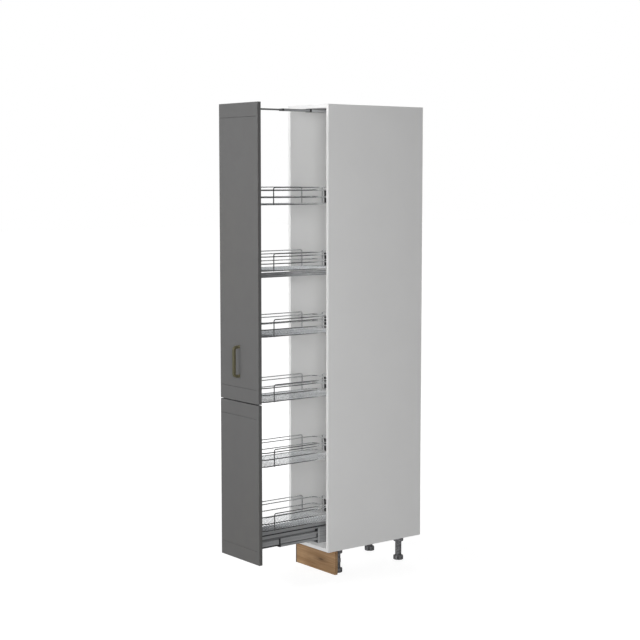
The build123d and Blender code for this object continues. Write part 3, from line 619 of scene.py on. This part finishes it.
def basket_mesh(half, front, rear):
    """Wires of one basket, given the loops' middle lines, with the lowest loop at height 0."""
    bm = bmesh.new()
    for z in LOOPS:
        corners = [(half, front, z), (half, rear, z), (-half, rear, z), (-half, front, z)]
        path = rounded(corners, CORNER, CORNER_STEPS, closed=True)
        tube(bm, path, circle(WIRE / 2, WIRE_SIDES), closed=True)
    for i in range(GRID_COUNT):
        y = front + GRID_END + (rear - front - 2 * GRID_END) * i / (GRID_COUNT - 1)
        short = max(0.0, CORNER - min(y - front, rear - y))
        reach = half - CORNER + math.sqrt(CORNER ** 2 - short ** 2)
        tube(bm, [Vector((-reach, y, 0.0)), Vector((reach, y, 0.0))], circle(GRID_WIRE / 2, GRID_SIDES))
    ends = (front + RAIL_FROM_FRONT, rear - RAIL_FROM_REAR)
    for side in (-1, 1):
        rail(bm, lambda along, z: (side * (half + WIRE), along, z), *ends)
        rail(bm, lambda along, z: (along, (front, rear)[side > 0] + side * WIRE, z), -RAIL_HALF, RAIL_HALF)
        for z in LOOPS:
            for y in ends:
                weld(bm, (side * (half + WIRE / 2), y, z))
            for x in (-RAIL_HALF, RAIL_HALF):
                weld(bm, (x, (front, rear)[side > 0] + side * WIRE / 2, z))
    return to_mesh("basket_wire", bm)


# The rails stand outside the loops, so a loop's middle line lies one and a half wires inside the box
low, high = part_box("basket_1")
rim = 1.5 * WIRE
wires = basket_mesh(high.x - rim, low.y + rim, high.y - rim)
levels = {name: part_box(name)[1].z - RAIL_TOP - WIRE / 2 for name in BASKETS}
for name, level in levels.items():
    place(name + "_wire", wires, name, "chrome_wire", [name], at=(0, 0, level))

# Wings at both sides of each basket carrier, flat against the post
WING_IN = 0.030
WING_OUT = 0.042
WING_T = 0.003
WING_EASE = 0.001
carrier_low, carrier_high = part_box("basket_carriers")
bm = bmesh.new()
for level in levels.values():
    for wall, inward in ((carrier_low.y, 1), (carrier_high.y, -1)):
        for side in (-1, 1):
            across = side * (WING_IN + WING_OUT) / 2
            middle = Vector((across, wall + inward * WING_T / 2, level + LOOPS[-1] / 2))
            wing = bmesh.ops.create_cube(bm, size=1.0)["verts"]
            bmesh.ops.scale(bm, verts=wing, vec=(WING_OUT - WING_IN, WING_T, LOOPS[-1]))
            bmesh.ops.translate(bm, verts=wing, vec=middle)
bmesh.ops.bevel(bm, geom=bm.edges[:], offset=WING_EASE, offset_type="OFFSET", segments=EASE_SEGMENTS,
                profile=0.5, affect="EDGES")
piece("carrier_wings", bm, "pull_out", "black_plastic")

# Bow handle: a soft rectangular section that grows a little towards its two feet
HANDLE_FOOT = 0.0135
HANDLE_BAR = 0.012
HANDLE_BEND = 0.012
HANDLE_STEPS = 12
HANDLE_SIDES = 24
HANDLE_SQUARE = 0.35
HANDLE_SWELL = 1.5
handle_low, handle_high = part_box("handle")
bar_y = handle_low.y + HANDLE_BAR / 2
foot_z = (handle_low.z + HANDLE_FOOT / 2, handle_high.z - HANDLE_FOOT / 2)
corners = [(0, handle_high.y, foot_z[0]), (0, bar_y, foot_z[0]),
           (0, bar_y, foot_z[1]), (0, handle_high.y, foot_z[1])]
bow = rounded(corners, HANDLE_BEND, HANDLE_STEPS)


def handle_section(point):
    """Soft rectangle, as wide as the handle, and deeper near the front than along the bar."""
    bar_back = handle_low.y + HANDLE_BAR
    foot = min(1.0, max(0.0, (point.y - bar_back) / (handle_high.y - bar_back)))
    deep = (HANDLE_BAR + (HANDLE_FOOT - HANDLE_BAR) * foot ** HANDLE_SWELL) / 2
    wide = (handle_high.x - handle_low.x) / 2
    ring = []
    for u, v in circle(1.0, HANDLE_SIDES):
        squared = (math.copysign(abs(part) ** HANDLE_SQUARE, part) for part in (u, v))
        ring.append(tuple(size * part for size, part in zip((wide, deep), squared)))
    return tuple(ring)


bm = bmesh.new()
tube(bm, bow, [handle_section(point) for point in bow])
piece("handle_bow", bm, "pull_out", "bronze", ["handle"], SHARP_HANDLE)

# Legs: sockets, tubes and notched levelling feet
FOOT_TOP = 0.020
TUBE_R = 0.015
SOCKET_R = 0.024
SOCKET_H = 0.022
PAD_R = 0.0238
STEM_R = 0.0118
SEAM = 0.0003
NOTCHES = 6
NOTCH_TURN = math.radians(15.0)
NOTCH_HALF = math.radians(7.5)
NOTCH_WALL = math.radians(2.5)
NOTCH_DEEP = 0.003
NOTCHED_R = 0.02
leg_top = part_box("leg_sockets")[1].z
socket_low = leg_top - SOCKET_H
sockets = bmesh.new()
tubes = bmesh.new()
pad = [(PAD_R - 0.0023, 0.0), (PAD_R - 0.0006, 0.0008), (PAD_R, 0.0020), (PAD_R, FOOT_TOP - 0.0024),
       (PAD_R - 0.0006, FOOT_TOP - 0.0008), (PAD_R - 0.0018, FOOT_TOP), (STEM_R + 0.0007, FOOT_TOP)]
cup = [(STEM_R + 0.0007, socket_low), (SOCKET_R - 0.0020, socket_low),
       (SOCKET_R - 0.0006, socket_low + 0.0008), (SOCKET_R, socket_low + 0.0022),
       (SOCKET_R, leg_top - 0.0006), (SOCKET_R - 0.0004, leg_top)]
sleeve = [(STEM_R + 0.0012, FOOT_TOP + SEAM), (TUBE_R - 0.0004, FOOT_TOP + SEAM), (TUBE_R, FOOT_TOP + 0.0008),
          (TUBE_R, socket_low)]


def notched(radius, height, angle):
    """Radius of the foot's pad, cut back at each finger notch on its wide rings."""
    if radius < NOTCHED_R:
        return radius
    pitch = 2 * math.pi / NOTCHES
    apart = abs((angle - NOTCH_TURN + pitch / 2) % pitch - pitch / 2)
    return radius - NOTCH_DEEP * min(1.0, max(0.0, (NOTCH_HALF - apart) / NOTCH_WALL))


for row in ("front", "rear"):
    for hand in ("left", "right"):
        name = "foot_" + row + "_" + hand
        low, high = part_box(name)
        axis = ((low.x + high.x) / 2, (low.y + high.y) / 2, 0)
        bm = bmesh.new()
        lathe(bm, axis, pad, sides=144, wave=notched)
        lathe(bm, axis, [(STEM_R, FOOT_TOP - 0.002), (STEM_R, high.z)], sides=32)
        piece(name + "_pad", bm, name, "leg_plastic", [name])
        lathe(sockets, axis, cup, sides=64)
        lathe(tubes, axis, sleeve, sides=48)
piece("leg_sockets_flanged", sockets, "carcass", "leg_plastic", ["leg_sockets"])
piece("leg_tubes_round", tubes, "carcass", "leg_plastic", ["leg_tubes"])


# Collar sleeve: the part of the black collar that wraps the outside of the middle runner
SLEEVE_L = 0.006
SLEEVE_T = 0.0005
BEAD = 0.002
BEAD_H = 0.010
LIP = 0.0055
middle_low, middle_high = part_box("runner_middle")


def wrap(out):
    """Right half of the middle runner's outline, moved outwards, from the lip to the middle of the bottom."""
    wall = middle_high.x - BEAD + out
    side = middle_high.x + out
    top = middle_high.z + out
    shelf = middle_low.z + BEAD_H + out
    bottom = middle_low.z - out
    lip = middle_high.x - BEAD - LIP
    return [(lip, top), (wall, top), (wall, shelf), (side, shelf), (side, bottom), (0.0, bottom)]


bm = bmesh.new()
near_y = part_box("runner_middle_collar")[0].y
for side in (-1, 1):
    outline = wrap(SLEEVE_T) + wrap(0.0)[::-1]
    rings = [[bm.verts.new((side * x, y, z)) for x, z in outline] for y in (near_y, near_y + SLEEVE_L)]
    bm.faces.new(rings[0])
    bm.faces.new(rings[1][::-1])
    for k in range(len(outline)):
        j = (k + 1) % len(outline)
        bm.faces.new((rings[0][k], rings[0][j], rings[1][j], rings[1][k]))
piece("runner_collar_sleeve", bm, "runner_middle_stage", "black_plastic")


# Screws and bumpers on the backs of the fronts
CROSS_R = 0.0018
CROSS_STEP = 0.0001
CROSS_FLOOR_R = 0.0012
HANDLE_SCREW_R = 0.004
HANDLE_SCREW_RISE = 0.0024
SHANK_R = 0.0020
BRACKET_SCREW_R = 0.0035
BRACKET_SCREW_RISE = 0.0018
BRACKET_SCREW_X = 0.042
BRACKET_SCREW_Z = 0.011
BRACKET_INSET = 0.060
BUMPER_R = 0.0040


def cross_slot(radius, height, angle):
    """Cross recess of a screw head, drawn on the rings nearest its middle."""
    return radius if radius > CROSS_R else radius * (0.45 + 0.55 * abs(math.cos(2 * angle)) ** 3)


def pan_head(bm, at, radius, rise):
    """Rounded screw head that stands out along Y, with a cross recess."""
    dome = [(radius, 0.0), (radius, 0.25 * rise), (0.93 * radius, 0.55 * rise), (0.75 * radius, 0.85 * rise)]
    recess = [(CROSS_R + CROSS_STEP, rise), (CROSS_R - CROSS_STEP, rise), (CROSS_FLOOR_R, 0.45 * rise)]
    lathe(bm, at, dome + recess, sides=32, wave=cross_slot, along="Y")


low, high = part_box("handle_screws")
seat = high.y - HANDLE_SCREW_RISE
bm = bmesh.new()
for z in (low.z + HANDLE_SCREW_R, high.z - HANDLE_SCREW_R):
    pan_head(bm, (0, seat, z), HANDLE_SCREW_R, HANDLE_SCREW_RISE)
    lathe(bm, (0, low.y, z), [(SHANK_R, 0.0), (SHANK_R, seat - low.y)], sides=20, along="Y")
piece("handle_screws_headed", bm, "pull_out", "zinc_steel", ["handle_screws"])

bm = bmesh.new()
post_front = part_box("front_post")[0].y
beam_mid = sum(corner.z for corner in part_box("bottom_beam")) / 2
upper_low, upper_high = (corner.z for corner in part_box("upper_front"))
lower_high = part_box("lower_front")[1].z
for z in (beam_mid, lower_high - BRACKET_INSET, upper_low + BRACKET_INSET, upper_high - BRACKET_INSET):
    for x in (-BRACKET_SCREW_X, BRACKET_SCREW_X):
        for rise in (-BRACKET_SCREW_Z, BRACKET_SCREW_Z):
            pan_head(bm, (x, post_front, z + rise), BRACKET_SCREW_R, BRACKET_SCREW_RISE)
piece("bracket_screws", bm, "pull_out", "zinc_steel")

low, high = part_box("front_buffers")
thick = high.y - low.y
dome = [(BUMPER_R, 0.0), (BUMPER_R, 0.35 * thick), (0.90 * BUMPER_R, 0.70 * thick),
        (0.65 * BUMPER_R, 0.92 * thick), (0.30 * BUMPER_R, thick)]
bm = bmesh.new()
for x in (low.x + BUMPER_R, high.x - BUMPER_R):
    for z in (low.z + BUMPER_R, high.z - BUMPER_R):
        lathe(bm, (x, low.y, z), dome, sides=28, along="Y")
piece("front_bumpers", bm, "pull_out", "clear_rubber", ["front_buffers"])


# Stage: a pale floor and white surroundings, softly lit from all sides
WHITE = (1.0, 1.0, 1.0, 1.0)
ROOM_LIGHT = 0.118
# Metal reflects a room that is white at its front left: from, to, and the strength at each, by X and by Y
MIRROR_TINT = (0.95, 0.98, 1.0, 1.0)
MIRROR_ACROSS = (-0.60, -0.20, 1.0, 0.03)
MIRROR_ALONG = (-0.62, -0.30, 1.0, 0.31)
# The floor takes a shadow near the object, and its glow grows to white with the distance from the middle
FLOOR_SIZE = 80.0
FLOOR_DROP = 0.0002
FLOOR_BOUNCE = (0.72, 0.72, 0.72, 1.0)
FLOOR_SHADOW = (0.30, 0.30, 0.30, 1.0)
FLOOR_MIRRORED = 0.08
FLOOR_FADE = (0.8, 2.6, 0.825, 1.0)


class Stage:
    """Shader nodes of the world or the floor, which rays of different kinds see differently."""

    def __init__(self, owner, output):
        owner.use_nodes = True
        self.nodes = owner.node_tree.nodes
        self.links = owner.node_tree.links
        self.nodes.clear()
        self.output = self.nodes.new(output)
        self.path = self.nodes.new("ShaderNodeLightPath")

    def shader(self, kind, **sockets):
        """A shader with these values, where a value may also come from another node."""
        node = self.nodes.new(kind)
        for name, value in sockets.items():
            if isinstance(value, bpy.types.NodeSocket):
                self.links.new(value, node.inputs[name])
            else:
                node.inputs[name].default_value = value
        return node.outputs[0]

    def grade(self, value, low, high, to_low, to_high):
        """Maps one span of values onto another, in a straight line."""
        node = self.nodes.new("ShaderNodeMapRange")
        self.links.new(value, node.inputs[0])
        for socket, number in zip(node.inputs[1:5], (low, high, to_low, to_high)):
            socket.default_value = number
        return node.outputs[0]

    def join(self, kind, *inputs, operation=None):
        """A node that takes these inputs in order."""
        node = self.nodes.new(kind)
        if operation:
            node.operation = operation
        for value, socket in zip(inputs, node.inputs):
            self.links.new(value, socket)
        return node.outputs

    def either(self, ray, no, yes):
        """One shader for this kind of ray, and another for all the rest."""
        return self.join("ShaderNodeMixShader", self.path.outputs[ray], no, yes)[0]

    def finish(self, surface):
        self.links.new(surface, self.output.inputs["Surface"])


world = bpy.data.worlds.new("studio")
bpy.context.scene.world = world
stage = Stage(world, "ShaderNodeOutputWorld")
heading = stage.nodes.new("ShaderNodeTexCoord").outputs["Generated"]
axes = stage.join("ShaderNodeSeparateXYZ", heading)
across = stage.grade(axes["X"], *MIRROR_ACROSS)
along = stage.grade(axes["Y"], *MIRROR_ALONG)
graded = stage.join("ShaderNodeMath", across, along, operation="MULTIPLY")[0]
room = stage.shader("ShaderNodeBackground", Color=WHITE, Strength=ROOM_LIGHT)
white = stage.shader("ShaderNodeBackground", Color=WHITE, Strength=1.0)
mirror = stage.shader("ShaderNodeBackground", Color=MIRROR_TINT, Strength=graded)
seen = stage.either("Is Glossy Ray", room, mirror)
seen = stage.either("Is Camera Ray", seen, white)
stage.finish(stage.either("Is Transmission Ray", seen, white))

bpy.ops.mesh.primitive_plane_add(size=FLOOR_SIZE, location=(0, 0, -FLOOR_DROP))
floor = bpy.context.object
floor.name = "floor"
paper = bpy.data.materials.new("floor_paper")
floor.data.materials.append(paper)
stage = Stage(paper, "ShaderNodeOutputMaterial")
spot = stage.nodes.new("ShaderNodeTexCoord").outputs["Object"]
away = stage.join("ShaderNodeVectorMath", spot, operation="LENGTH")["Value"]
bounce = stage.shader("ShaderNodeBsdfDiffuse", Color=FLOOR_BOUNCE)
shadow = stage.shader("ShaderNodeBsdfDiffuse", Color=FLOOR_SHADOW)
pale = stage.shader("ShaderNodeEmission", Color=WHITE, Strength=stage.grade(away, *FLOOR_FADE))
dim = stage.shader("ShaderNodeEmission", Color=WHITE, Strength=FLOOR_MIRRORED)
lit = stage.join("ShaderNodeAddShader", shadow, pale)[0]
seen = stage.either("Is Glossy Ray", bounce, dim)
stage.finish(stage.either("Is Camera Ray", seen, lit))


def lamp(name, at, target, width, power, shadow=True):
    """Round area lamp that lights but isn't mirrored in metal."""
    light = bpy.data.lights.new(name, "AREA")
    light.shape = "DISK"
    light.size = width
    light.energy = power
    light.use_shadow = shadow
    obj = bpy.data.objects.new(name, light)
    obj.location = at
    obj.rotation_mode = "QUATERNION"
    obj.rotation_quaternion = (Vector(target) - obj.location).to_track_quat("-Z", "Y")
    obj.visible_glossy = False
    bpy.context.scene.collection.objects.link(obj)


lamp("front_fill", at=(0.6, -4.5, 3.0), target=(0, -0.4, 1.2), width=2.5, power=100.0, shadow=False)
lamp("left_key", at=(-0.9, -4.4, 2.7), target=(0, -0.4, 1.2), width=0.8, power=54.0)
lamp("left_fill", at=(-4.2, -0.6, 3.2), target=(0, 0, 1.3), width=2.4, power=34.0, shadow=False)
lamp("side_key", at=(4.2, -3.2, 2.0), target=(0, 0, 1.2), width=2.6, power=104.0)
lamp("back_fill", at=(-3.4, 3.6, 2.8), target=(0, 0.2, 1.1), width=2.5, power=95.0)

# Camera, at the photo's angle
AZIMUTH = math.radians(52.1516)
PITCH = math.radians(5.5884)
LENS_MM = 81.52
SENSOR_MM = 36.0
CAMERA_AT = (5.26762, -4.09606, 1.82235)
NEAR = 0.1
FAR = 200.0
back = Vector((math.sin(AZIMUTH) * math.cos(PITCH), -math.cos(AZIMUTH) * math.cos(PITCH), math.sin(PITCH)))
camera = bpy.data.cameras.new("camera")
camera.lens = LENS_MM
camera.sensor_width = SENSOR_MM
camera.clip_start = NEAR
camera.clip_end = FAR
shot = bpy.data.objects.new("camera", camera)
shot.location = CAMERA_AT
shot.rotation_mode = "QUATERNION"
shot.rotation_quaternion = (-back).to_track_quat("-Z", "Y")
bpy.context.scene.collection.objects.link(shot)
bpy.context.scene.camera = shot
bpy.context.scene.view_settings.view_transform = "Standard"
